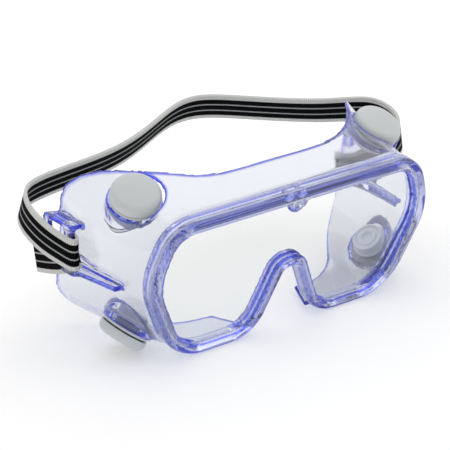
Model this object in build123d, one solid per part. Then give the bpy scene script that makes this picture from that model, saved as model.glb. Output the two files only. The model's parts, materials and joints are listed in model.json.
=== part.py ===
from build123d import *
import math
import os

# Splash goggles: a one-piece soft clear frame with a flat lens in its rim, four
# capped vents, moulded strap lugs and an elastic headband. Millimetres, +Z up,
# front is -Y, left is -X. The origin is on the surface the goggles stand on.

# ---- driving dimensions -------------------------------------------------
LEAN = 10.9  # how far the lens leans forward at the top, degrees
LENS_HEIGHT = 44.0  # lens datum above the table
LENS_THICKNESS = 1.8
LENS_GROOVE_DEPTH = 3.6  # how far the lens reaches into the rim
LENS_CLEARANCE = 0.1  # all round and on both faces

RIM_FRONT = 4.4  # rim in front of the lens datum
RIM_BACK = 4.6  # rim behind the lens datum
RIM_TOP = 6.4  # rim widths from the opening to the outer edge
RIM_SIDE = 6.6
RIM_BOTTOM = 4.4
RIM_NOSE = 5.4
RIM_ROUND = 2.2  # outer front and back edges
LIP_WIDTH = 2.6  # lowered front lip next to the lens
LIP_DROP = 0.9

WALL = 2.0  # skirt wall
SKIRT_INSET = 1.2  # skirt starts this far inside the rim's outer edge
SKIRT_OVERLAP = 1.5  # skirt wall runs this far into the rim
TEMPLE_HALF = 82.5  # half width of the skirt at its top corner
BROW_Y = 18.0  # station where the skirt reaches its full height
BROW_HALF = 77.0  # half width of the skirt at its section behind the rim
BROW_TOP = 81.5
SKIRT_END_Y = 72.0  # station behind every point of the face seal
SKIRT_END_TOP = 85.5
SKIRT_END_BOTTOM = 4.0
NOSE_FLARE = 5.0  # nose saddle widens by this much towards the face
NOSE_RISE = 3.0

PEG_RADIUS = 1.2  # lens locating pegs under the top lip
PEG_CLEARANCE = 0.1
PEG_SPACING = 3.6
PEG_LENGTH = 2.4  # past the lens's back face
TAB_RADIUS = 5.8
TAB_THICKNESS = 1.2

VENT_BORE = 4.8  # radius of the air passage through a collar
COLLAR_RADIUS = 11.4
COLLAR_THICKNESS = 1.2
NECK_WALL = 1.3
NECK_CLEARANCE = 0.15
BOSS_RADIUS = 12.6
BOSS_THICKNESS = 3.6
CAP_RADIUS = 11.6
CAP_HEIGHT = 5.4
CAP_ROUND = 3.0
CAP_WALL = 1.5
CAP_GAP = 0.7  # air gap between the collar and the cap's edge
SPIGOT_CLEARANCE = 0.15
SPIGOT_WALL = 1.2
SPIGOT_REACH = 3.4  # below the collar's outer face
CAP_FEET = 4
BAFFLE_RADIUS = 8.6
BAFFLE_FLANGE = 1.3
BAFFLE_WALL = 1.2
BAFFLE_DEPTH = 2.6  # cup below the flange
AIR_HOLES = 6
AIR_HOLE_RADIUS = 0.8

STRAP_WIDTH = 15.0
STRAP_THICKNESS = 1.4
STRAP_STAND_OFF = 7.5  # strap legs beyond the temples
STRAP_X = TEMPLE_HALF + STRAP_STAND_OFF
SWING_Y = 46.0  # the line that the headband swings about
SWING_Z = 47.0
STRAP_RISE = 10.0  # upward tilt of the headband's plane towards the back, degrees
PIVOT_MARGIN = 1.1  # of the pivot beyond half the strap
PIVOT_RADIUS = STRAP_WIDTH / 2 + PIVOT_MARGIN
PIVOT_GAP = 0.4
TAIL_TURN_Y = 49.0  # the free end droops from here
TAIL_DROOP = 14.0  # degrees
TAIL_LEFT = 28.0  # length of each free end past its turn
TAIL_RIGHT = 22.0

LUG_FRONT = 42.5
LUG_BACK = 68.0
LUG_PLATE = 2.4
LUG_ROOT = 16.0  # the lug starts this far inside the temples, before the skirt is hollowed
LUG_BAR = 7.0  # length of the front and back bars
LUG_FLOOR = 10.0  # length of the floor under the front bar
LUG_HOOK = 9.0  # height of the back bar, which hangs from the roof
LUG_SPARE = 5.0  # lug clearance over the strap, in height
LUG_ROOM = STRAP_WIDTH + LUG_SPARE
LUG_STRAP_GAP = 0.5  # between a bar and either leg of the strap
RIB_LENGTH = 24.0

# Lens opening, half of its corners in the lens plane: across, up, round.
OPENING = [(65.0, 21.6, 12.0), (73.0, -2.0, 26.0), (56.5, -40.2, 21.0), (21.0, -40.2, 14.0), (7.2, -7.0, 9.0)]
# Skirt behind the rim, half of its corners in upright planes: across, up, round.
BROW = [(BROW_HALF, BROW_TOP, 34.0), (BROW_HALF + 2.0, 38.0, 30.0), (BROW_HALF - 11.5, 1.5, 24.0)]
SKIRT_END = [
    (TEMPLE_HALF - 1.0, SKIRT_END_TOP, 5.0),
    (TEMPLE_HALF - 0.5, 50.0, 60.0),
    (TEMPLE_HALF + 1.5, SKIRT_END_BOTTOM, 22.0),
]
# Face seal from above: across, back from the lens datum.
FACE = [
    (0.0, 20.5),
    (22.0, 20.5),
    (42.0, 24.5),
    (TEMPLE_HALF - 25.5, 37.0),
    (TEMPLE_HALF - 12.5, 54.0),
    (TEMPLE_HALF - 2.5, 63.5),
    (TEMPLE_HALF + 13.5, 70.0),
]
# Headband route, square to its own plane: across, back from the swing line.
BAND = [
    (-STRAP_X, 0.0),
    (-STRAP_X - 2.8, 18.0),
    (-STRAP_X - 0.5, 37.0),
    (-79.0, 52.0),
    (-48.0, 53.0),
    (-16.0, 59.5),
    (14.0, 77.0),
    (41.0, 84.0),
    (64.0, 68.0),
    (92.0, 50.0),
    (121.0, 43.0),
    (123.0, 20.0),
    (STRAP_X + 16.0, 4.0),
    (STRAP_X, 0.0),
]
# Vents: a point inside the skirt, the outward direction and the boss's height.
VENTS = {
    "upper": ((64.0, 36.0, 50.0), (0.14, -0.48, 0.86), -0.2),
    "lower": ((58.0, 25.0, 30.0), (0.60, 0.08, -0.80), 0.8),
}

LEAN_SIN = math.sin(math.radians(LEAN))
LEAN_COS = math.cos(math.radians(LEAN))
REAR = Vector(0, LEAN_COS, LEAN_SIN)
UP_LENS = Vector(0, -LEAN_SIN, LEAN_COS)
DATUM = Vector(0, 0, LENS_HEIGHT)
LENS_HALF = LENS_THICKNESS / 2
GROOVE_HALF = LENS_HALF + LENS_CLEARANCE


def lens_plane(back=0.0):
    """Plane parallel to the lens, 'back' behind its middle."""
    return Plane(origin=DATUM + REAR * back, x_dir=(1, 0, 0), z_dir=-REAR)


def upright_plane(y):
    """Upright plane across the goggles at a station."""
    return Plane(origin=(0, y, 0), x_dir=(1, 0, 0), z_dir=(0, -1, 0))


def mirrored(corners):
    """Close half a list of corners across the middle plane."""
    other = [(-x, z, r) for x, z, r in reversed(corners)]
    return corners + other


def shifted_corner(before, corner, after, width_in, width_out):
    """Corner of an outline whose two edges moved outwards by their widths."""
    d1 = Vector(corner[0] - before[0], corner[1] - before[1]).normalized()
    d2 = Vector(after[0] - corner[0], after[1] - corner[1]).normalized()
    n1 = Vector(-d1.Y, d1.X)
    n2 = Vector(-d2.Y, d2.X)
    turn = n1.X * n2.Y - n1.Y * n2.X
    across = (width_in * n2.Y - width_out * n1.Y) / turn
    up = (width_out * n1.X - width_in * n2.X) / turn
    if turn < 0:
        radius = corner[2] + (width_in + width_out) / 2
    else:
        radius = max(corner[2] - (width_in + width_out) / 2, 1.0)
    return (corner[0] + across, corner[1] + up, radius)


def grown(corners, widths):
    """Corners after every edge has moved outwards by its own width."""
    count = len(corners)
    return [
        shifted_corner(corners[i - 1], corners[i], corners[(i + 1) % count], widths[i - 1], widths[i])
        for i in range(count)
    ]


def outline(corners, plane):
    """Face with rounded corners on a plane."""
    points = [(x, z) for x, z, _ in corners]
    wire = FilletPolyline(*points, radius=[r for _, _, r in corners], close=True)
    return plane * make_face(wire)


def opening_grown(top, side, bottom, nose):
    """The lens opening moved outwards by a width for each side."""
    half = [side, side, bottom, nose]
    return grown(mirrored(OPENING), half + [nose] + half[::-1] + [top])


def hull_grown(corners, width):
    """Six-cornered outline moved outwards evenly."""
    return grown(corners, [width] * len(corners))


def front_hull():
    """Skirt outline where it leaves the rim, without the nose notch."""
    half = OPENING[:3]
    widths = [RIM_SIDE, RIM_SIDE, RIM_BOTTOM, RIM_SIDE, RIM_SIDE, RIM_TOP]
    return grown(mirrored(half), [w - SKIRT_INSET for w in widths])


def hull(shrink):
    """Solid hull of the skirt, each section shrunk by a wall."""
    sections = [
        outline(hull_grown(front_hull(), -shrink), lens_plane()),
        outline(hull_grown(mirrored(BROW), -shrink), upright_plane(BROW_Y)),
        outline(hull_grown(mirrored(SKIRT_END), -shrink), upright_plane(SKIRT_END_Y)),
    ]
    return loft(sections)


def nose_tunnel(grow):
    """Space of the nose under the bridge, grown by a wall."""
    width = RIM_NOSE - SKIRT_INSET - grow
    corners = opening_grown(width, width, width, width)
    apex = corners[4]
    foot = corners[3]
    slope = (foot[0] - apex[0]) / (apex[1] - foot[1])
    drop = 30.0
    sections = []
    for plane, flare, rise in (
        (lens_plane(-RIM_FRONT - 2), 0.0, 0.0),
        (lens_plane(RIM_BACK), 0.0, 0.0),
        (lens_plane(SKIRT_END_Y), 4 * NOSE_FLARE, 4 * NOSE_RISE),
    ):
        top = apex[1] + rise
        low = foot[1] - drop
        half_top = apex[0] + flare
        half_low = half_top + slope * (top - low)
        points = [(half_low, low), (half_top, top), (-half_top, top), (-half_low, low)]
        radius = 0.9 * half_top
        wire = FilletPolyline(*points, radius=[0, radius, radius, 0], close=True)
        sections.append(plane * make_face(wire))
    return loft(sections[:2], ruled=True) + loft(sections[1:], ruled=True)


def behind_face():
    """Everything on the wearer's side of the face seal."""
    side = FACE[1:]
    left = [(-x, y) for x, y in reversed(side)]
    curve = Spline(*(left + FACE))
    far = Polyline(FACE[-1], (FACE[-1][0], 140), (-FACE[-1][0], 140), left[0])
    reach = 90.0
    start = DATUM - UP_LENS * reach
    face = Pos(0, start.Y, start.Z) * make_face(curve + far)
    return extrude(face, amount=2 * reach, dir=UP_LENS)


def rim():
    """Bead round the lens with its groove, lowered lip and lens opening."""
    outer = outline(opening_grown(RIM_TOP, RIM_SIDE, RIM_BOTTOM, RIM_NOSE), lens_plane(RIM_BACK))
    bead = extrude(outer, amount=RIM_FRONT + RIM_BACK, dir=-REAR)
    front = bead.faces().sort_by(Axis(DATUM, REAR))[0]
    back = bead.faces().sort_by(Axis(DATUM, REAR))[-1]
    bead = fillet(front.edges() + back.edges(), RIM_ROUND)
    lip = outline(opening_grown(*[LIP_WIDTH] * 4), lens_plane(-RIM_FRONT - 1))
    bead = bead - extrude(lip, amount=1 + LIP_DROP, dir=REAR)
    hole = outline(opening_grown(0, 0, 0, 0), lens_plane(-RIM_FRONT - 2))
    bead = bead - extrude(hole, amount=RIM_FRONT + RIM_BACK + 4, dir=REAR)
    groove = outline(opening_grown(*[LENS_GROOVE_DEPTH] * 4), lens_plane(-GROOVE_HALF))
    return bead - extrude(groove, amount=2 * GROOVE_HALF, dir=REAR)


def peg_places():
    """Plane of each lens peg, facing forward from the lens's middle."""
    top = OPENING[0][1]
    spots = [(-PEG_SPACING, -1.4), (0.0, -3.4), (PEG_SPACING, -1.4)]
    return [lens_plane() * Pos(x, top + up, 0) for x, up in spots]


def peg_tab():
    """Half-round tab under the top lip, with the pegs that locate the lens."""
    top = OPENING[0][1]
    front = RIM_FRONT - LIP_DROP
    plate = lens_plane(-GROOVE_HALF) * Pos(0, top, 0) * extrude(Circle(TAB_RADIUS), amount=TAB_THICKNESS)
    above = lens_plane(-GROOVE_HALF) * Pos(0, top + TAB_RADIUS + 1, 0) * extrude(
        Rectangle(3 * TAB_RADIUS, 2 * TAB_RADIUS), amount=front
    )
    tab = plate - above
    length = LENS_HALF + PEG_LENGTH
    for place in peg_places():
        tab += place * Pos(0, 0, (GROOVE_HALF + TAB_THICKNESS + 0.5 - length) / 2) * Cylinder(
            PEG_RADIUS, GROOVE_HALF + TAB_THICKNESS + 0.5 + length
        )
    return tab


def lens():
    """Flat lens seated in the rim's groove."""
    reach = LENS_GROOVE_DEPTH - LENS_CLEARANCE
    face = outline(opening_grown(*[reach] * 4), lens_plane(LENS_HALF))
    plate = extrude(face, amount=LENS_THICKNESS, dir=-REAR)
    for place in peg_places():
        plate -= place * Cylinder(PEG_RADIUS + PEG_CLEARANCE, 4 * LENS_THICKNESS)
    return plate


def vent_places(outside):
    """Name and seat plane of each vent, standing a boss above the skirt."""
    places = {}
    for level, (inside, direction, height) in VENTS.items():
        for side, sign in (("left", -1), ("right", 1)):
            start = Vector(sign * inside[0], inside[1], inside[2])
            out = Vector(sign * direction[0], direction[1], direction[2]).normalized()
            hits = outside.find_intersection_points(Axis(start, out))
            skin = max((point for point, _ in hits), key=lambda p: (p - start).dot(out))
            seat = skin + out * height
            places[f"{level}_{side}"] = Plane(origin=seat, x_dir=Vector(1, 0, 0).cross(out), z_dir=out)
    return places


def tube(outer, inner, low, high):
    """Upright ring between two heights."""
    ring = Pos(0, 0, (low + high) / 2) * Cylinder(outer, high - low)
    return ring - Pos(0, 0, (low + high) / 2) * Cylinder(inner, high - low + 2)


def disc(radius, low, high):
    """Upright disc between two heights."""
    return Pos(0, 0, (low + high) / 2) * Cylinder(radius, high - low)


NECK_RADIUS = VENT_BORE + NECK_WALL
NECK_HOLE = NECK_RADIUS + NECK_CLEARANCE
BAFFLE_SEAT = -BOSS_THICKNESS
BAFFLE_FLOOR = BAFFLE_SEAT - BAFFLE_FLANGE - BAFFLE_DEPTH


def vent_collar():
    """Flanged ring that passes through the boss."""
    neck_end = BAFFLE_FLOOR + 2 * NECK_CLEARANCE
    ring = tube(COLLAR_RADIUS, VENT_BORE, 0, COLLAR_THICKNESS)
    ring = chamfer(ring.edges().filter_by(GeomType.CIRCLE).sort_by(SortBy.RADIUS)[-2:].sort_by(Axis.Z)[-1], 0.5)
    return ring + tube(NECK_RADIUS, VENT_BORE, neck_end, 0.5)


def vent_baffle():
    """Inner dish that closes the collar's neck and breaks up splashes."""
    flange = tube(BAFFLE_RADIUS, NECK_HOLE, BAFFLE_SEAT - BAFFLE_FLANGE, BAFFLE_SEAT)
    cup = NECK_HOLE + BAFFLE_WALL
    wall = tube(cup, NECK_HOLE, BAFFLE_FLOOR, BAFFLE_SEAT)
    floor = disc(cup, BAFFLE_FLOOR - BAFFLE_WALL, BAFFLE_FLOOR)
    floor -= disc(cup / 3, BAFFLE_FLOOR - 2 * BAFFLE_WALL, BAFFLE_FLOOR - BAFFLE_WALL / 2)
    floor -= PolarLocations(NECK_HOLE - 2 * AIR_HOLE_RADIUS, AIR_HOLES) * Cylinder(AIR_HOLE_RADIUS, 40)
    return flange + wall + floor


def vent_cap():
    """Domed cap on four feet, with a spigot that snaps into the collar."""
    edge = COLLAR_THICKNESS + CAP_GAP
    top = edge + CAP_HEIGHT
    ceiling = top - CAP_WALL
    cap = disc(CAP_RADIUS, edge, top)
    cap = fillet(cap.edges().sort_by(Axis.Z)[-1], CAP_ROUND)
    cap -= disc(CAP_RADIUS - CAP_WALL, edge - 1, ceiling - CAP_ROUND / 2)
    cap -= disc(CAP_RADIUS - CAP_WALL - CAP_ROUND / 2, edge, ceiling)
    spigot = VENT_BORE - SPIGOT_CLEARANCE
    pipe = tube(spigot, spigot - SPIGOT_WALL, COLLAR_THICKNESS - SPIGOT_REACH, ceiling + 0.2)
    window = Box(4 * spigot, spigot * 0.7, ceiling - COLLAR_THICKNESS)
    for turn in range(CAP_FEET // 2):
        pipe -= Pos(0, 0, (ceiling + COLLAR_THICKNESS) / 2) * Rot(0, 0, 360 / CAP_FEET * turn) * window
    foot_low = COLLAR_THICKNESS + 0.05
    foot = Pos(spigot + 1.2, 0, (foot_low + ceiling + 0.2) / 2) * Box(3.0, 1.6, ceiling + 0.2 - foot_low)
    for turn in range(CAP_FEET):
        pipe += Rot(0, 0, 360 / CAP_FEET * (turn + 0.5)) * foot
    return cap + pipe


def lug():
    """Right-hand strap lug: a roof, a front bar on a short floor, and a back hook."""
    outer_x = STRAP_X - STRAP_THICKNESS / 2 - LUG_STRAP_GAP
    inner_x = TEMPLE_HALF - LUG_ROOT
    length = LUG_BACK - LUG_FRONT
    middle_y = (LUG_FRONT + LUG_BACK) / 2
    height = LUG_ROOM + 2 * LUG_PLATE
    block = Pos((inner_x + outer_x) / 2, middle_y, SWING_Z) * Box(outer_x - inner_x, length, height)
    block = fillet(block.edges().filter_by(Axis.Z).group_by(Axis.X)[-1], LUG_PLATE * 0.9)
    block -= Pos(outer_x - LUG_PLATE - 20, middle_y, SWING_Z) * Box(40, length + 2, LUG_ROOM)
    block -= Pos(outer_x, middle_y, SWING_Z) * Box(20, length - 2 * LUG_BAR, LUG_ROOM)
    open_length = length - LUG_FLOOR
    open_height = height - LUG_PLATE - LUG_HOOK
    low_z = SWING_Z - height / 2
    block -= Pos(outer_x, LUG_BACK - open_length / 2 + 0.5, low_z + open_height / 2 - 0.5) * Box(
        40, open_length + 1, open_height + 1
    )
    slot = Rectangle(outer_x - TEMPLE_HALF - 2 * LUG_PLATE, length - 2 * LUG_BAR)
    return block - Pos((TEMPLE_HALF + outer_x) / 2, middle_y, SWING_Z) * extrude(slot, amount=LUG_ROOM)


def lug_rib():
    """Fin that runs forward from the floor of the right-hand lug."""
    outer_x = STRAP_X - STRAP_THICKNESS / 2 - LUG_STRAP_GAP
    low = SWING_Z - LUG_ROOM / 2 - LUG_PLATE
    points = [
        (TEMPLE_HALF - LUG_ROOT, LUG_FRONT + 1),
        (outer_x - LUG_PLATE, LUG_FRONT + 1),
        (TEMPLE_HALF, LUG_FRONT - RIB_LENGTH),
        (TEMPLE_HALF - LUG_ROOT, LUG_FRONT - RIB_LENGTH),
    ]
    return extrude(Plane.XY.offset(low) * make_face(Polyline(*points, close=True)), amount=LUG_PLATE)


def face_frame(places):
    """The soft moulding: rim, skirt, nose saddle, bosses and strap lugs."""
    behind_rim = extrude(lens_plane(RIM_BACK - SKIRT_OVERLAP) * Rectangle(400, 400), amount=160, dir=REAR)
    cavity = (hull(WALL) - nose_tunnel(-WALL)) & behind_rim
    skirt = (hull(0) - nose_tunnel(0)) & behind_rim
    for sign in (-1, 1):
        extra = lug() + lug_rib()
        if sign < 0:
            extra = extra.mirror(Plane.YZ)
        skirt += extra
    for place in places.values():
        skirt += place * disc(BOSS_RADIUS, -3 * BOSS_THICKNESS, 0)
    skirt -= cavity
    for place in places.values():
        skirt -= place * disc(BOSS_RADIUS, 0, 4 * BOSS_THICKNESS)
        skirt += place * disc(BOSS_RADIUS, -BOSS_THICKNESS, 0)
        skirt -= place * disc(NECK_HOLE, -5 * BOSS_THICKNESS, 1)
        skirt -= place * disc(BAFFLE_RADIUS + NECK_CLEARANCE, -4 * BOSS_THICKNESS, -BOSS_THICKNESS)
    skirt -= behind_face()
    frame = skirt + rim() + peg_tab()
    return frame - Pos(0, 0, -50) * Box(400, 400, 100)


def band_plane():
    """Plane that the headband's route lies in."""
    tilt = math.radians(STRAP_RISE)
    normal = Vector(0, -math.sin(tilt), math.cos(tilt))
    return Plane(origin=(0, SWING_Y, SWING_Z), x_dir=(1, 0, 0), z_dir=normal)


def arc_radii(route):
    """As large an arc at each inner point as its two runs allow."""
    radii = []
    for before, here, after in zip(route, route[1:], route[2:]):
        run_in = Vector(here[0] - before[0], here[1] - before[1])
        run_out = Vector(after[0] - here[0], after[1] - here[1])
        turn = math.radians(run_in.get_angle(run_out))
        radii.append(0.45 * min(run_in.length, run_out.length) / math.tan(turn / 2))
    return radii


def webbing(route, radii, plane):
    """Strap standing on edge along a route."""
    wire = FilletPolyline(*route, radius=radii) if radii else Line(*route)
    ribbon = trace(wire, line_width=STRAP_THICKNESS)
    return plane * (Pos(0, 0, -STRAP_WIDTH / 2) * extrude(ribbon, amount=STRAP_WIDTH))


def headband():
    """Elastic band from one lug round the back of the head to the other."""
    route = BAND
    band = webbing(route, arc_radii(route), band_plane())
    for sign in (-1, 1):
        band -= Pos(sign * STRAP_X, SWING_Y, SWING_Z) * Sphere(PIVOT_RADIUS + PIVOT_GAP)
    return band


def strap_end(tail):
    """Right-hand strap end folded round the lug's front bar, with its free end."""
    inner_x = STRAP_X - STRAP_THICKNESS - 2 * LUG_STRAP_GAP - LUG_PLATE
    front = LUG_FRONT - LUG_STRAP_GAP - STRAP_THICKNESS / 2
    bend = 0.49 * (STRAP_X - inner_x)
    level = Plane(origin=(0, 0, SWING_Z))
    outer_leg = webbing([(STRAP_X, SWING_Y + 2 * PIVOT_RADIUS), (STRAP_X, front + bend)], [], level)
    outer_leg &= Pos(STRAP_X, SWING_Y, SWING_Z) * Sphere(PIVOT_RADIUS)
    route = [(STRAP_X, front + bend + 0.1), (STRAP_X, front), (inner_x, front), (inner_x, TAIL_TURN_Y)]
    fold = webbing(route, [bend, bend], level)
    droop = math.radians(TAIL_DROOP)
    normal = Vector(0, math.sin(droop), math.cos(droop))
    sloping = Plane(origin=(0, TAIL_TURN_Y, SWING_Z), x_dir=(1, 0, 0), z_dir=normal)
    start = STRAP_WIDTH / 2 * math.tan(droop)
    return outer_leg + fold + webbing([(inner_x, -start), (inner_x, tail)], [], sloping)


def save(name, shape):
    """Write one node."""
    solids = shape.solids()
    export_step(solids[0] if len(solids) == 1 else Compound(children=solids), f"parts/{name}.step")


def main():
    """Build and write every node."""
    os.makedirs("parts", exist_ok=True)
    places = vent_places(hull(0))
    nodes = {"face_frame": face_frame(places), "lens": lens(), "headband": headband()}
    nodes["right_strap_end"] = strap_end(TAIL_RIGHT)
    nodes["left_strap_end"] = strap_end(TAIL_LEFT).mirror(Plane.YZ)
    for name, place in places.items():
        nodes[f"{name}_vent_collar"] = place * vent_collar()
        nodes[f"{name}_vent_baffle"] = place * vent_baffle()
        nodes[f"{name}_vent_cap"] = place * vent_cap()
    for name, shape in nodes.items():
        save(name, shape)
    for name, place in places.items():
        print(name, "seat", [round(v, 2) for v in place.origin], "out", [round(v, 4) for v in place.z_dir])
    print("headband radii", [round(r, 1) for r in arc_radii(BAND)])


if __name__ == "__main__":
    main()
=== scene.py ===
"""Looks of a pair of clear splash goggles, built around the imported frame."""

import json
import logging
import math
from dataclasses import dataclass, field
from enum import Enum

import bpy
import numpy as np
from mathutils import Matrix, Vector


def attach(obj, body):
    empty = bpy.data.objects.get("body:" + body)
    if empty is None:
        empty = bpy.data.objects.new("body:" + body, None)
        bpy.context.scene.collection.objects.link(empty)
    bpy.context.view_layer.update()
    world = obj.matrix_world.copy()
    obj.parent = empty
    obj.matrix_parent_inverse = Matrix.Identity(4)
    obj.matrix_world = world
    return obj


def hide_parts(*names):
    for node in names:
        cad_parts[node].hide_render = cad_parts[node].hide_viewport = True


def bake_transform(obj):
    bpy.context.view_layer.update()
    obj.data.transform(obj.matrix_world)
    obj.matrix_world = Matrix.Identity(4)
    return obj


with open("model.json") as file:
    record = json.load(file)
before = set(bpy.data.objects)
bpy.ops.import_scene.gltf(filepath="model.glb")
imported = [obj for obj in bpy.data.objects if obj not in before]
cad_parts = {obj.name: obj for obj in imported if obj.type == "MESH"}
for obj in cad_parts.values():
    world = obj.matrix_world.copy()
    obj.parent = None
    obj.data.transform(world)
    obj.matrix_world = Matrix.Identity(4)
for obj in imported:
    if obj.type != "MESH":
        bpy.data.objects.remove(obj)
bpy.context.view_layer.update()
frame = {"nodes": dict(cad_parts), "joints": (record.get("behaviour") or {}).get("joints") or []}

LOG = logging.getLogger("goggles")
MM = 0.001
MERGE = 1e-6
SMOOTH_ANGLE = math.radians(50)

Color = tuple[float, float, float, float]
WHITE: Color = (1.0, 1.0, 1.0, 1.0)


class Slot(str, Enum):
    """Material slots of the record."""

    VINYL = "clear_vinyl"
    LENS = "clear_lens"
    VENT = "vent_plastic"
    BAFFLE = "baffle_plastic"
    ELASTIC = "striped_elastic"


# ---- small helpers around the modelling operators ------------------------


def deselect() -> None:
    """Leave nothing selected in object mode."""
    if bpy.context.object and bpy.context.object.mode != "OBJECT":
        bpy.ops.object.mode_set(mode="OBJECT")
    bpy.ops.object.select_all(action="DESELECT")


def activate(piece: bpy.types.Object) -> None:
    """Select one piece and make it active.

    Args:
        piece: the piece to work on.
    """
    deselect()
    piece.select_set(True)
    bpy.context.view_layer.objects.active = piece


def apply_modifier(piece: bpy.types.Object, kind: str, **settings: object) -> None:
    """Add a modifier to a piece and apply it.

    Args:
        piece: the piece to finish.
        kind: the modifier's type.
        settings: its properties.
    """
    activate(piece)
    modifier = piece.modifiers.new(kind.title(), kind)
    for name, value in settings.items():
        setattr(modifier, name, value)
    bpy.ops.object.modifier_apply(modifier=modifier.name)


def turned(name: str, profile: list[tuple[float, float]], steps: int = 96) -> bpy.types.Object:
    """Turn a closed profile about Z, as on a lathe.

    Args:
        name: the new piece's name.
        profile: radius and height of each point, in metres, starting and ending on the axis
            or closing on its own first point.
        steps: faces round the axis.

    Returns:
        The turned piece, its normals outwards.
    """
    deselect()
    bpy.ops.mesh.primitive_plane_add(size=MM, location=(0, 0, 0))
    piece = bpy.context.object
    piece.name = name
    bpy.ops.object.mode_set(mode="EDIT")
    bpy.ops.mesh.select_all(action="SELECT")
    bpy.ops.mesh.merge(type="CENTER")
    here = Vector((0, 0, 0))
    for index, (radius, height) in enumerate(profile):
        step = Vector((radius, 0, height)) - here
        if index == 0:
            bpy.ops.transform.translate(value=step)
        else:
            bpy.ops.mesh.extrude_vertices_move(TRANSFORM_OT_translate={"value": step})
        here += step
    bpy.ops.mesh.select_all(action="SELECT")
    bpy.ops.mesh.spin(steps=steps, angle=math.tau, center=(0, 0, 0), axis=(0, 0, 1))
    bpy.ops.mesh.select_all(action="SELECT")
    bpy.ops.mesh.remove_doubles(threshold=MERGE)
    bpy.ops.mesh.normals_make_consistent(inside=False)
    bpy.ops.object.mode_set(mode="OBJECT")
    return piece


def rounded(points: list[tuple[float, float, float]], steps: int = 5) -> list[tuple[float, float]]:
    """Round the corners of a profile.

    Args:
        points: across, up and corner radius of each point.
        steps: segments in each rounded corner.

    Returns:
        The profile's points with its corners as arcs.
    """
    out: list[tuple[float, float]] = []
    for index, (x, y, radius) in enumerate(points):
        if radius <= 0 or index in (0, len(points) - 1):
            out.append((x, y))
            continue
        here = Vector((x, y))
        before = (Vector(points[index - 1][:2]) - here).normalized()
        after = (Vector(points[index + 1][:2]) - here).normalized()
        half = before.angle(after) / 2
        centre = here + (before + after).normalized() * radius / math.sin(half)
        start = (here + before * radius / math.tan(half) - centre).normalized()
        end = (here + after * radius / math.tan(half) - centre).normalized()
        for step in range(steps + 1):
            out.append(tuple(centre + radius * start.slerp(end, step / steps)))
    return out


def dress(piece: bpy.types.Object, finish: bpy.types.Material) -> None:
    """Smooth a piece and give it one finish.

    Args:
        piece: the piece to dress.
        finish: its material.
    """
    activate(piece)
    bpy.ops.object.shade_smooth_by_angle(angle=SMOOTH_ANGLE)
    piece.data.materials.clear()
    piece.data.materials.append(finish)


def seat_matrix(centre: Vector, out: Vector) -> Matrix:
    """Matrix that stands a turned piece on its seat, facing outwards."""
    turn = out.to_track_quat("Z", "Y").to_matrix().to_4x4()
    return Matrix.Translation(centre) @ turn


def finish_piece(piece: bpy.types.Object, body: str, slot: Slot, *nodes: str) -> None:
    """Ride a piece on its body and hide the CAD nodes that it replaces.

    Args:
        piece: the finished piece.
        body: the body it moves with.
        slot: the record's slot that its finish comes from; not used.
        nodes: the CAD nodes that it replaces.
    """
    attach(piece, body)
    if nodes:
        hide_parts(*nodes)
    LOG.info("%s rides on %s: %d faces", piece.name, body, len(piece.data.polygons))


# ---- finishes ------------------------------------------------------------


class NodeSheet:
    """A material's node tree with short calls to fill it."""

    def __init__(self, name: str) -> None:
        """Start an empty material.

        Args:
            name: the material's name.
        """
        self.material = bpy.data.materials.new(name)
        self.material.use_nodes = True
        self.tree = self.material.node_tree
        self.tree.nodes.clear()
        self.output = self.tree.nodes.new("ShaderNodeOutputMaterial")

    def node(self, kind: str, **settings: object) -> bpy.types.Node:
        """Add a node.

        Args:
            kind: the node's type.
            settings: its properties.

        Returns:
            The new node.
        """
        node = self.tree.nodes.new(kind)
        for name, value in settings.items():
            setattr(node, name, value)
        return node

    def shader(self, **inputs: object) -> bpy.types.Node:
        """Add a main shader.

        Args:
            inputs: values of its inputs, with _ for each space in a name.

        Returns:
            The new shader.
        """
        node = self.node("ShaderNodeBsdfPrincipled")
        for name, value in inputs.items():
            node.inputs[name.replace("_", " ")].default_value = value
        return node

    def clear_to_shadows(self, body: bpy.types.Node, shadow: Color) -> None:
        """Show a clear shader, but let light through it as plainly tinted.

        Args:
            body: the clear shader.
            shadow: tint of the light that passes.
        """
        clear = self.node("ShaderNodeBsdfTransparent")
        clear.inputs["Color"].default_value = shadow
        path = self.node("ShaderNodeLightPath")
        mix = self.node("ShaderNodeMixShader")
        self.link(path.outputs["Is Shadow Ray"], mix.inputs["Fac"])
        self.link(body.outputs[0], mix.inputs[1])
        self.link(clear.outputs[0], mix.inputs[2])
        self.link(mix.outputs[0], self.output.inputs["Surface"])

    def link(self, source: bpy.types.NodeSocket, target: bpy.types.NodeSocket) -> None:
        """Join two sockets."""
        self.tree.links.new(source, target)


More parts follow.
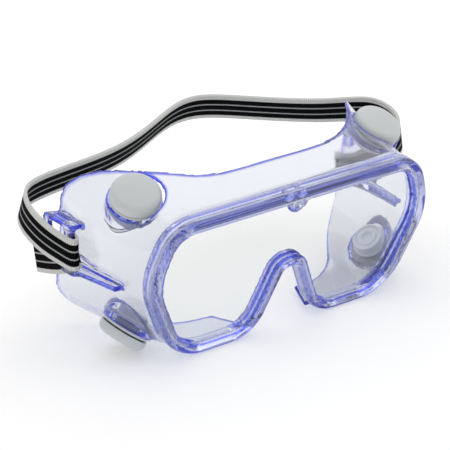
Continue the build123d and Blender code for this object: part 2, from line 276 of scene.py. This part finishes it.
def moulded_surface() -> bpy.types.NodeTree:
    """Fine grain, handling haze and slight tone changes of a moulded surface, as a node group.

    Returns:
        The group, made at its first use.
    """
    name = "moulded_surface"
    if name in bpy.data.node_groups:
        return bpy.data.node_groups[name]
    tree = bpy.data.node_groups.new(name, "ShaderNodeTree")
    tree.interface.new_socket("Color", in_out="INPUT", socket_type="NodeSocketColor")
    for label in ("Grain Scale", "Patch Scale", "Smooth", "Hazy", "Tone"):
        tree.interface.new_socket(label, in_out="INPUT", socket_type="NodeSocketFloat")
    tree.interface.new_socket("Color", in_out="OUTPUT", socket_type="NodeSocketColor")
    tree.interface.new_socket("Roughness", in_out="OUTPUT", socket_type="NodeSocketFloat")
    tree.interface.new_socket("Height", in_out="OUTPUT", socket_type="NodeSocketFloat")
    given = tree.nodes.new("NodeGroupInput")
    result = tree.nodes.new("NodeGroupOutput")
    place = tree.nodes.new("ShaderNodeTexCoord")
    grain = tree.nodes.new("ShaderNodeTexNoise")
    grain.inputs["Detail"].default_value = 3.0
    patch = tree.nodes.new("ShaderNodeTexNoise")
    patch.inputs["Detail"].default_value = 4.0
    patch.inputs["Distortion"].default_value = 0.6
    haze = tree.nodes.new("ShaderNodeMapRange")
    haze.inputs["From Min"].default_value = 0.35
    haze.inputs["From Max"].default_value = 0.7
    tone = tree.nodes.new("ShaderNodeMapRange")
    tone.inputs["To Max"].default_value = 1.0
    shade = tree.nodes.new("ShaderNodeMix")
    shade.data_type = "RGBA"
    shade.blend_type = "MULTIPLY"
    shade.inputs[0].default_value = 1.0
    for source, target in (
        (place.outputs["Object"], grain.inputs["Vector"]),
        (place.outputs["Object"], patch.inputs["Vector"]),
        (given.outputs["Grain Scale"], grain.inputs["Scale"]),
        (given.outputs["Patch Scale"], patch.inputs["Scale"]),
        (patch.outputs["Fac"], haze.inputs["Value"]),
        (given.outputs["Smooth"], haze.inputs["To Min"]),
        (given.outputs["Hazy"], haze.inputs["To Max"]),
        (patch.outputs["Fac"], tone.inputs["Value"]),
        (given.outputs["Tone"], tone.inputs["To Min"]),
        (given.outputs["Color"], shade.inputs[6]),
        (tone.outputs["Result"], shade.inputs[7]),
        (shade.outputs[2], result.inputs["Color"]),
        (haze.outputs["Result"], result.inputs["Roughness"]),
        (grain.outputs["Fac"], result.inputs["Height"]),
    ):
        tree.links.new(source, target)
    return tree


@dataclass(frozen=True)
class Surface:
    """How grainy, hazy and even a moulded surface is."""

    grain_scale: float
    patch_scale: float
    smooth: float
    hazy: float
    tone: float
    depth: float
    bump: float = 0.1

    def dress(self, sheet: NodeSheet, body: bpy.types.Node) -> bpy.types.NodeSocket:
        """Put the surface group in front of a shader.

        Args:
            sheet: the material's node tree.
            body: its main shader.

        Returns:
            The group's colour input, still to be given its colour.
        """
        group = sheet.node("ShaderNodeGroup")
        group.node_tree = moulded_surface()
        for label, value in (
            ("Grain Scale", self.grain_scale), ("Patch Scale", self.patch_scale),
            ("Smooth", self.smooth), ("Hazy", self.hazy), ("Tone", self.tone),
        ):
            group.inputs[label].default_value = value
        bump = sheet.node("ShaderNodeBump")
        bump.inputs["Strength"].default_value = self.bump
        bump.inputs["Distance"].default_value = self.depth
        sheet.link(group.outputs["Color"], body.inputs["Base Color"])
        sheet.link(group.outputs["Roughness"], body.inputs["Roughness"])
        sheet.link(group.outputs["Height"], bump.inputs["Height"])
        sheet.link(bump.outputs["Normal"], body.inputs["Normal"])
        return group.inputs["Color"]


@dataclass(frozen=True)
class ClearVinyl:
    """Soft clear vinyl whose thick edges turn blue-violet; that blue is painted edge glow, laid on by
    convexity in place of light carried along the walls.
    """

    tint: Color = (0.30, 0.36, 0.90, 1.0)
    density: float = 34.0
    ior: float = 1.53
    surface: Surface = Surface(900.0, 60.0, 0.04, 0.11, 0.97, 0.05 * MM)
    wall: Color = (0.84, 0.85, 0.88, 1.0)
    # painted edge glow: the blue that light carried along the thick walls gives, painted on convex edges
    edge: Color = (0.05, 0.08, 0.82, 1.0)
    glow_start: float = 0.03
    glow_full: float = 0.10
    shadow: Color = (0.93, 0.93, 0.94, 1.0)

    def build(self) -> bpy.types.Material:
        """Make the material.

        Returns:
            The new material.
        """
        sheet = NodeSheet(Slot.VINYL.value)
        body = sheet.shader(Transmission_Weight=1.0, IOR=self.ior)
        # painted edge glow: convexity blends the plain wall tint into the painted blue
        mark = sheet.node("ShaderNodeAttribute", attribute_name="edge")
        painted_glow_ramp = sheet.node("ShaderNodeValToRGB")
        painted_glow_ramp.color_ramp.elements[0].position = self.glow_start
        painted_glow_ramp.color_ramp.elements[0].color = self.wall
        painted_glow_ramp.color_ramp.elements[1].position = self.glow_full
        painted_glow_ramp.color_ramp.elements[1].color = self.edge
        sheet.link(mark.outputs["Fac"], painted_glow_ramp.inputs["Fac"])
        sheet.link(painted_glow_ramp.outputs["Color"], self.surface.dress(sheet, body))
        sheet.clear_to_shadows(body, self.shadow)
        depth = sheet.node("ShaderNodeVolumeAbsorption")
        depth.inputs["Color"].default_value = self.tint
        depth.inputs["Density"].default_value = self.density
        sheet.link(depth.outputs[0], sheet.output.inputs["Volume"])
        return sheet.material


@dataclass(frozen=True)
class ClearLens:
    """Hard clear polycarbonate with a trace of handling haze."""

    color: Color = (0.945, 0.96, 0.945, 1.0)
    shadow: Color = (0.95, 0.96, 0.955, 1.0)
    ior: float = 1.5
    surface: Surface = Surface(1500.0, 45.0, 0.0, 0.035, 0.985, 0.01 * MM)

    def build(self) -> bpy.types.Material:
        """Make the material.

        Returns:
            The new material.
        """
        sheet = NodeSheet(Slot.LENS.value)
        body = sheet.shader(Transmission_Weight=1.0, IOR=self.ior)
        self.surface.dress(sheet, body).default_value = self.color
        sheet.clear_to_shadows(body, self.shadow)
        return sheet.material


@dataclass(frozen=True)
class MouldedPlastic:
    """Satin moulded plastic of the vents."""

    slot: Slot
    color: Color
    subsurface: float = 0.0
    subsurface_reach: float = 2 * MM
    surface: Surface = Surface(2600.0, 90.0, 0.36, 0.5, 0.95, 0.05 * MM)

    def build(self) -> bpy.types.Material:
        """Make the material.

        Returns:
            The new material.
        """
        sheet = NodeSheet(self.slot.value)
        body = sheet.shader(Subsurface_Weight=self.subsurface, Subsurface_Scale=self.subsurface_reach)
        self.surface.dress(sheet, body).default_value = self.color
        sheet.link(body.outputs[0], sheet.output.inputs["Surface"])
        return sheet.material


@dataclass(frozen=True)
class StripedElastic:
    """Woven elastic with three black stripes; it follows the strap's own UV map."""

    black: Color = (0.004, 0.004, 0.005, 1.0)
    pale: Color = (0.72, 0.73, 0.70, 1.0)
    line: Color = (0.44, 0.46, 0.46, 1.0)
    roughness: float = 0.8
    gloss: float = 0.03
    rib_scale: float = 125.0
    rib_waver: float = 0.4
    rib_detail: float = 40.0
    rib_shade: float = 0.72
    rib_depth: float = 0.2 * MM
    bump: float = 0.35
    tooth: float = 0.022

    def build(self) -> bpy.types.Material:
        """Make the material.

        Returns:
            The new material.
        """
        sheet = NodeSheet(Slot.ELASTIC.value)
        body = sheet.shader(Roughness=self.roughness, Specular_IOR_Level=self.gloss)
        uv = sheet.node("ShaderNodeUVMap")
        split = sheet.node("ShaderNodeSeparateXYZ")
        sheet.link(uv.outputs["UV"], split.inputs[0])
        ramp = sheet.node("ShaderNodeValToRGB")
        ramp.color_ramp.interpolation = "CONSTANT"
        stops = [
            (0.0, self.pale), (0.145, self.black), (0.345, self.line), (0.39, self.black),
            (0.6, self.line), (0.645, self.black), (0.85, self.pale),
        ]
        ramp.color_ramp.elements[0].position = stops[0][0]
        ramp.color_ramp.elements[0].color = stops[0][1]
        ramp.color_ramp.elements[1].position = stops[1][0]
        ramp.color_ramp.elements[1].color = stops[1][1]
        for position, color in stops[2:]:
            ramp.color_ramp.elements.new(position).color = color
        ribs = sheet.node("ShaderNodeTexWave")
        ribs.bands_direction = "X"
        ribs.inputs["Scale"].default_value = self.rib_scale
        ribs.inputs["Distortion"].default_value = self.rib_waver
        ribs.inputs["Detail Scale"].default_value = self.rib_detail
        tooth = sheet.node("ShaderNodeMath", operation="MULTIPLY_ADD")
        tooth.inputs[1].default_value = self.tooth
        sheet.link(ribs.outputs["Fac"], tooth.inputs[0])
        sheet.link(split.outputs["Y"], tooth.inputs[2])
        sheet.link(tooth.outputs[0], ramp.inputs["Fac"])
        shade = sheet.node("ShaderNodeMapRange")
        shade.inputs["To Min"].default_value = self.rib_shade
        sheet.link(ribs.outputs["Fac"], shade.inputs["Value"])
        weave = sheet.node("ShaderNodeMix", data_type="RGBA", blend_type="MULTIPLY")
        weave.inputs[0].default_value = 1.0
        sheet.link(ramp.outputs["Color"], weave.inputs[6])
        sheet.link(shade.outputs["Result"], weave.inputs[7])
        sheet.link(weave.outputs[2], body.inputs["Base Color"])
        bump = sheet.node("ShaderNodeBump")
        bump.inputs["Strength"].default_value = self.bump
        bump.inputs["Distance"].default_value = self.rib_depth
        sheet.link(uv.outputs["UV"], ribs.inputs["Vector"])
        sheet.link(ribs.outputs["Fac"], bump.inputs["Height"])
        sheet.link(bump.outputs["Normal"], body.inputs["Normal"])
        sheet.link(body.outputs[0], sheet.output.inputs["Surface"])
        return sheet.material


# ---- sub-assemblies ------------------------------------------------------


@dataclass
class FrameSkin:
    """Soft moulded surface of the face frame, with its rounded edges."""

    voxel: float = 0.8 * MM
    smoothing: int = 3
    spread: int = 3

    def build(self, vinyl: bpy.types.Material) -> None:
        """Make the skin from the frame's own shape.

        Args:
            vinyl: its material.
        """
        mesh = frame["nodes"]["face_frame"].data.copy()
        piece = bpy.data.objects.new("frame_skin", mesh)
        bpy.context.scene.collection.objects.link(piece)
        activate(piece)
        bpy.ops.object.mode_set(mode="EDIT")
        bpy.ops.mesh.select_all(action="SELECT")
        bpy.ops.mesh.remove_doubles(threshold=MERGE)
        bpy.ops.object.mode_set(mode="OBJECT")
        apply_modifier(piece, "REMESH", mode="VOXEL", voxel_size=self.voxel)
        apply_modifier(piece, "SMOOTH", factor=0.5, iterations=self.smoothing)
        bpy.ops.object.shade_smooth()
        self.mark_edges(piece.data)
        piece.data.materials.clear()
        piece.data.materials.append(vinyl)
        finish_piece(piece, "frame", Slot.VINYL, "face_frame")

    def mark_edges(self, mesh: bpy.types.Mesh) -> None:
        """Store how convex the surface is at every vertex, as the attribute 'edge', which places the
        vinyl's painted edge glow.

        Args:
            mesh: the skin's mesh.
        """
        count = len(mesh.vertices)
        places = np.empty(count * 3)
        mesh.vertices.foreach_get("co", places)
        places = places.reshape(count, 3)
        normals = np.empty(count * 3)
        mesh.vertex_normals.foreach_get("vector", normals)
        normals = normals.reshape(count, 3)
        pairs = np.empty(len(mesh.edges) * 2, dtype=np.int64)
        mesh.edges.foreach_get("vertices", pairs)
        first, second = pairs.reshape(-1, 2).T
        arms = places[second] - places[first]
        arms /= np.linalg.norm(arms, axis=1)[:, None] + 1e-12
        bend = np.zeros(count)
        links = np.zeros(count)
        for here, sign in ((first, -1.0), (second, 1.0)):
            np.add.at(bend, here, sign * np.einsum("ij,ij->i", arms, normals[here]))
            np.add.at(links, here, 1.0)
        bend /= np.maximum(links, 1.0)
        for _ in range(self.spread):
            around = np.zeros(count)
            np.add.at(around, first, bend[second])
            np.add.at(around, second, bend[first])
            bend = 0.5 * bend + 0.5 * around / np.maximum(links, 1.0)
        LOG.info("frame edges bend by %.3f to %.3f", bend.min(), bend.max())
        mark = mesh.attributes.new("edge", "FLOAT", "POINT")
        mark.data.foreach_set("value", np.clip(bend, 0.0, 1.0))


@dataclass
class Vent:
    """One indirect vent: a collar through the skirt, a baffle inside and a cap outside."""

    name: str
    collar_radius: float = 11.4 * MM
    collar_thickness: float = 1.2 * MM
    bore: float = 4.8 * MM
    neck_radius: float = 6.1 * MM
    neck_end: float = -7.2 * MM
    cap_radius: float = 11.6 * MM
    cap_gap: float = 0.7 * MM
    cap_height: float = 5.4 * MM
    cap_wall: float = 1.5 * MM
    cap_round: float = 3.2 * MM
    dome: float = 0.7 * MM
    spigot_gap: float = 0.15 * MM
    spigot_wall: float = 1.2 * MM
    spigot_reach: float = 3.4 * MM
    feet: int = 4
    foot_width: float = 1.6 * MM
    foot_end: float = 7.35 * MM
    baffle_radius: float = 8.6 * MM
    flange: float = 1.3 * MM
    dish_radius: float = 7.45 * MM
    dish_floor: float = 1.6 * MM
    dish_recess: float = 0.8 * MM
    seat_gap: float = 0.15 * MM
    top_band: float = 0.05 * MM
    foot_edge: float = 0.25 * MM
    foot_gap: float = 0.05 * MM
    root: float = 0.2 * MM

    @property
    def cap_node(self) -> str:
        """CAD node of the cap."""
        return f"{self.name}_vent_cap"

    def place(self) -> Matrix:
        """Find the vent's seat from its CAD cap and its joint's axis.

        Returns:
            The matrix that puts a turned piece there.
        """
        joint = next(j for j in frame["joints"] if j["name"] == f"{self.name}_cap_pull")
        out = Vector(joint["axis"]).normalized()
        corners = [v.co for v in frame["nodes"][self.cap_node].data.vertices]
        top = max(corner.dot(out) for corner in corners)
        ring = [corner for corner in corners if corner.dot(out) > top - self.top_band]
        centre = sum(ring, Vector()) / len(ring)
        rise = self.collar_thickness + self.cap_gap + self.cap_height
        return seat_matrix(centre - out * rise, out)

    def build_cap(self) -> bpy.types.Object:
        """Make the domed cap with its soft shoulder, hollow inside, spigot and feet.

        Returns:
            The cap, in the seat's own directions.
        """
        edge = self.collar_thickness + self.cap_gap
        top = edge + self.cap_height
        inner = self.cap_radius - self.cap_wall
        profile = rounded(
            [
                (0.0, top, 0),
                (self.cap_radius, top - self.dome, self.cap_round),
                (self.cap_radius, edge, 0.35 * MM),
                (inner, edge, 0.35 * MM),
                (inner, top - self.cap_wall - self.dome, 1.2 * MM),
                (0.0, top - self.cap_wall, 0),
            ]
        )
        cap = turned(f"{self.name}_cap", profile)
        outer = self.bore - self.spigot_gap
        inside = outer - self.spigot_wall
        tip = self.collar_thickness - self.spigot_reach
        lip = self.collar_thickness + self.foot_gap
        ring = rounded(
            [
                (inside, tip, 0),
                (outer, tip, 0.4 * MM),
                (outer, lip, 0.1 * MM),
                (inside, lip, 0),
                (inside, tip, 0),
            ]
        )
        parts = [turned(f"{self.name}_spigot", ring)]
        ceiling = top - self.cap_wall + self.root
        for index in range(self.feet):
            deselect()
            bpy.ops.mesh.primitive_cube_add(size=1.0, location=(0, 0, 0))
            foot = bpy.context.object
            size = Vector((self.foot_end - inside, self.foot_width, ceiling - lip))
            middle = Vector(((self.foot_end + inside) / 2, 0, (ceiling + lip) / 2))
            foot.data.transform(Matrix.Translation(middle) @ Matrix.Diagonal((*size, 1)))
            apply_modifier(foot, "BEVEL", width=self.foot_edge, segments=2)
            foot.data.transform(Matrix.Rotation(math.tau * (index + 0.5) / self.feet, 4, "Z"))
            parts.append(foot)
        activate(cap)
        for part in parts:
            part.select_set(True)
        bpy.ops.object.join()
        return cap

    def build_collar(self) -> bpy.types.Object:
        """Make the flanged ring with its neck.

        Returns:
            The collar, in the seat's own directions.
        """
        profile = rounded(
            [
                (self.bore, self.neck_end, 0),
                (self.bore, self.collar_thickness, 0.3 * MM),
                (self.collar_radius, self.collar_thickness, 0.45 * MM),
                (self.collar_radius, 0.0, 0.2 * MM),
                (self.neck_radius, 0.0, 0.1 * MM),
                (self.neck_radius, self.neck_end, 0),
                (self.bore, self.neck_end, 0),
            ]
        )
        return turned(f"{self.name}_collar", profile)

    def build_baffle(self, place: Matrix) -> bpy.types.Object:
        """Make the inner dish with its stepped, recessed face.

        Args:
            place: the vent's seat, to read the dish's depth from its CAD node.

        Returns:
            The dish, in the seat's own directions.
        """
        seat = place.inverted()
        heights = [(seat @ v.co).z for v in frame["nodes"][f"{self.name}_vent_baffle"].data.vertices]
        top, low = max(heights), min(heights)
        rim = self.dish_radius
        profile = rounded(
            [
                (0.0, low + self.dish_recess, 0),
                (0.28 * rim, low + self.dish_recess, 0.3 * MM),
                (0.42 * rim, low + 0.05 * MM, 0.3 * MM),
                (0.6 * rim, low + 0.05 * MM, 0.25 * MM),
                (0.66 * rim, low + 0.5 * MM, 0.25 * MM),
                (0.8 * rim, low + 0.5 * MM, 0.25 * MM),
                (0.86 * rim, low, 0.25 * MM),
                (rim, low, 0.5 * MM),
                (rim, top - self.flange, 0.4 * MM),
                (self.baffle_radius, top - self.flange, 0.4 * MM),
                (self.baffle_radius, top, 0.3 * MM),
                (self.neck_radius + self.seat_gap, top, 0),
                (self.neck_radius + self.seat_gap, low + self.dish_floor, 0.3 * MM),
                (0.0, low + self.dish_floor, 0),
            ]
        )
        return turned(f"{self.name}_baffle", profile)

    def build(self, plastic: bpy.types.Material, pale: bpy.types.Material) -> None:
        """Make, dress and place the vent's pieces.

        Args:
            plastic: finish of the cap and collar.
            pale: finish of the dish.
        """
        place = self.place()
        for piece, body, finish, slot, node in (
            (self.build_cap(), f"{self.name}_cap", plastic, Slot.VENT, self.cap_node),
            (self.build_collar(), "frame", plastic, Slot.VENT, f"{self.name}_vent_collar"),
            (self.build_baffle(place), "frame", pale, Slot.BAFFLE, f"{self.name}_vent_baffle"),
        ):
            piece.data.transform(place)
            dress(piece, finish)
            finish_piece(piece, body, slot, node)


# Band route in its own tilted plane: across, back from the swing line, lean of the upper edge.
BAND_ROUTE = (
    (-85.3, 3.0, 0), (-85.2, -1.5, 0), (-85.9, -4.2, 0), (-87.8, -5.2, 0),
    (-89.6, -3.6, 0), (-90.6, 2.0, 0), (-92.0, 10.0, 3), (-92.3, 18.0, 6),
    (-91.6, 27.0, 8), (-89.6, 36.0, 12), (-85.4, 44.5, 16), (-78.5, 50.0, 20),
    (-66.0, 53.0, 22), (-48.0, 55.0, 24), (-32.0, 57.0, 24), (-17.0, 61.0, 24),
    (-2.0, 67.5, 24), (13.0, 75.5, 24), (27.0, 82.0, 24), (40.0, 83.0, 24),
    (52.0, 77.0, 24), (66.0, 67.5, 24), (80.0, 58.5, 24), (94.0, 50.5, 22),
    (108.0, 45.5, 20), (118.5, 40.5, 16), (122.0, 31.0, 12), (120.0, 20.0, 8),
    (113.5, 10.0, 6), (105.0, 4.5, 4), (97.0, 0.8, 0), (91.8, -1.8, 0),
    (89.4, -4.3, 0), (87.2, -5.2, 0), (85.6, -3.8, 0), (85.2, -1.0, 0),
    (85.3, 3.0, 0),
)
# Free end: back from the fold, drop and bow towards the skirt.
TAIL_ROUTE = (
    (3.0, 0.6, 0.0), (7.0, 2.6, 0.0), (12.0, 6.0, 0.2), (18.0, 9.2, 0.6),
    (24.0, 11.6, 0.8), (30.0, 13.4, 0.6), (36.0, 14.8, 0.0), (38.0, 15.2, 0.0),
)


@dataclass
class Headband:
    """Striped elastic band, folded round both lugs."""

    width: float = 15.0 * MM
    thickness: float = 1.4 * MM
    swing: Vector = field(default_factory=lambda: Vector((0, 46.0, 47.0)) * MM)
    rise: float = math.radians(10.0)
    inner_x: float = 85.2 * MM
    weave_run: float = 400.0 * MM
    fold_y: float = 41.3 * MM
    right_tail: float = 0.8
    rows: int = 12
    step: float = 1.0 * MM
    blend_start: float = 1 * MM
    blend_run: float = 14 * MM

    def route(self) -> list[tuple[Vector, float]]:
        """Points of the band's middle line from inside the left lug to inside the right one.

        Returns:
            Each point, and how far the band's upper edge leans inwards there, in radians.
        """
        points = []
        for across, back, lean in BAND_ROUTE:
            y = self.swing.y + back * MM * math.cos(self.rise)
            z = self.swing.z + back * MM * math.sin(self.rise)
            points.append((Vector((across * MM, y, z)), math.radians(lean)))
        return points

    def tail_route(self, side: int) -> list[tuple[Vector, float]]:
        """Points of a free end, which droops behind its lug.

        Args:
            side: -1 for the left end, 1 for the right one.

        Returns:
            The points, from the fold to the cut end, without any lean.
        """
        scale = 1.0 if side < 0 else self.right_tail
        points = []
        for back, drop, bow in TAIL_ROUTE:
            x = side * (self.inner_x - bow * MM)
            y = self.fold_y + back * scale * MM
            z = self.swing.z - drop * scale * MM
            points.append((Vector((x, y, z)), 0.0))
        return points

    def ribbon(self, name: str, route: list[tuple[Vector, float]]) -> bpy.types.Object:
        """Bend a flat woven strip along a route.

        Args:
            name: the piece's name.
            route: points with their lean, in radians.

        Returns:
            The strap piece with its own UV map, along and across.
        """
        curve = bpy.data.curves.new(f"{name}_route", "CURVE")
        curve.dimensions = "3D"
        curve.twist_mode = "Z_UP"
        curve.resolution_u = 24
        spline = curve.splines.new("NURBS")
        spline.points.add(len(route) - 1)
        for point, (place, lean) in zip(spline.points, route):
            point.co = (*place, 1.0)
            point.tilt = lean
        spline.use_endpoint_u = True
        spline.order_u = 4
        guide = bpy.data.objects.new(f"{name}_route", curve)
        bpy.context.scene.collection.objects.link(guide)
        length = spline.calc_length()
        deselect()
        bpy.ops.mesh.primitive_grid_add(
            x_subdivisions=int(length / self.step), y_subdivisions=self.rows, size=1.0, location=(0, 0, 0)
        )
        piece = bpy.context.object
        piece.name = name
        flat = Matrix.Diagonal((length, self.width, 1, 1))
        piece.data.transform(Matrix.Translation((length / 2, 0, 0)) @ flat)
        piece.data.transform(Matrix.Rotation(math.pi / 2, 4, "X"))
        for corner in piece.data.uv_layers.active.data:
            corner.uv.x *= length / self.weave_run
        apply_modifier(piece, "CURVE", object=guide, deform_axis="POS_X")
        apply_modifier(piece, "SOLIDIFY", thickness=self.thickness, offset=0.0)
        bpy.data.objects.remove(guide)
        return piece

    def build(self, elastic: bpy.types.Material) -> None:
        """Make and dress the band and its two free ends.

        Args:
            elastic: their material.
        """
        band = self.ribbon("headband_webbing", self.route())
        left = self.ribbon("left_strap_tail", self.tail_route(-1))
        right = self.ribbon("right_strap_tail", self.tail_route(1))
        for piece in (band, left, right):
            dress(piece, elastic)
        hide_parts("headband")
        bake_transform(band)
        finish_piece(left, "frame", Slot.ELASTIC, "left_strap_end")
        finish_piece(right, "frame", Slot.ELASTIC, "right_strap_end")


@dataclass(frozen=True)
class Softbox:
    """A square area light: its place in metres, size and power."""

    name: str
    place: tuple[float, float, float]
    size: float
    power: float


@dataclass
class Studio:
    """Pale floor, soft light and the camera."""

    azimuth: float = -36.17
    elevation: float = 23.58
    roll: float = -0.74
    distance: float = 1.0523
    target: Vector = field(default_factory=lambda: Vector((6.8, 58.6, 29.4)) * MM)
    lens: float = 178.0
    sensor: float = 36.0
    light_paths: int = 40
    surround: float = 0.68
    floor_size: float = 20.0
    floor_drop: float = 0.02 * MM
    paper: Color = (0.92, 0.92, 0.92, 1.0)
    paper_glow: float = 0.16
    paper_roughness: float = 0.9
    paper_gloss: float = 0.1
    aim: Vector = field(default_factory=lambda: Vector((0, 0.05, 0.04)))
    softboxes: tuple[Softbox, ...] = (
        Softbox("softbox_top", (0.4, 0.9, 1.7), 2.6, 17.0),
        Softbox("softbox_right", (1.5, -0.5, 0.8), 0.8, 2.5),
    )

    def camera(self) -> None:
        """Camera that looks at the goggles from the front left."""
        turn, lift = math.radians(self.azimuth), math.radians(self.elevation)
        level = math.cos(lift)
        back = Vector((math.sin(turn) * level, -math.cos(turn) * level, math.sin(lift)))
        data = bpy.data.cameras.new("camera")
        data.lens = self.lens
        data.sensor_width = self.sensor
        camera = bpy.data.objects.new("camera", data)
        bpy.context.scene.collection.objects.link(camera)
        look = (-back).to_track_quat("-Z", "Y").to_matrix().to_4x4()
        roll = Matrix.Rotation(math.radians(self.roll), 4, "Z")
        camera.matrix_world = Matrix.Translation(self.target + back * self.distance) @ look @ roll
        bpy.context.scene.camera = camera

    def floor(self) -> None:
        """Large pale floor."""
        deselect()
        bpy.ops.mesh.primitive_plane_add(size=self.floor_size, location=(0, 0, -self.floor_drop))
        floor = bpy.context.object
        floor.name = "floor"
        sheet = NodeSheet("floor_paper")
        paper = sheet.shader(
            Base_Color=self.paper,
            Emission_Color=WHITE,
            Emission_Strength=self.paper_glow,
            Roughness=self.paper_roughness,
            Specular_IOR_Level=self.paper_gloss,
        )
        sheet.link(paper.outputs[0], sheet.output.inputs["Surface"])
        floor.data.materials.append(sheet.material)

    def lights(self) -> None:
        """Bright surround with a large softbox overhead and a small one at the right."""
        world = bpy.data.worlds.new("surround")
        bpy.context.scene.world = world
        world.use_nodes = True
        background = world.node_tree.nodes["Background"]
        background.inputs["Color"].default_value = WHITE
        background.inputs["Strength"].default_value = self.surround
        for box in self.softboxes:
            data = bpy.data.lights.new(box.name, "AREA")
            data.shape = "SQUARE"
            data.size = box.size
            data.energy = box.power
            light = bpy.data.objects.new(box.name, data)
            bpy.context.scene.collection.objects.link(light)
            light.location = box.place
            away = self.aim - Vector(box.place)
            light.rotation_euler = away.to_track_quat("-Z", "Y").to_euler()

    def build(self) -> None:
        """Set the stage."""
        self.floor()
        self.lights()
        self.camera()
        scene = bpy.context.scene
        scene.view_settings.view_transform = "Standard"
        scene.cycles.max_bounces = self.light_paths
        scene.cycles.transmission_bounces = self.light_paths
        scene.cycles.glossy_bounces = self.light_paths
        scene.cycles.transparent_max_bounces = self.light_paths


def main() -> None:
    """Build every sub-assembly and report it."""
    logging.basicConfig(level=logging.INFO, format="%(message)s")
    Studio().build()
    vinyl = ClearVinyl().build()
    lens = ClearLens().build()
    plastic = MouldedPlastic(Slot.VENT, (0.60, 0.63, 0.635, 1.0)).build()
    pale = MouldedPlastic(Slot.BAFFLE, (0.72, 0.76, 0.86, 1.0), subsurface=0.3).build()
    elastic = StripedElastic().build()
    panes = frame["nodes"]["lens"].data.materials
    panes.clear()
    panes.append(lens)
    FrameSkin().build(vinyl)
    for name in ("upper_left", "upper_right", "lower_left", "lower_right"):
        Vent(name).build(plastic, pale)
    Headband().build(elastic)


if __name__ == "__main__":
    main()
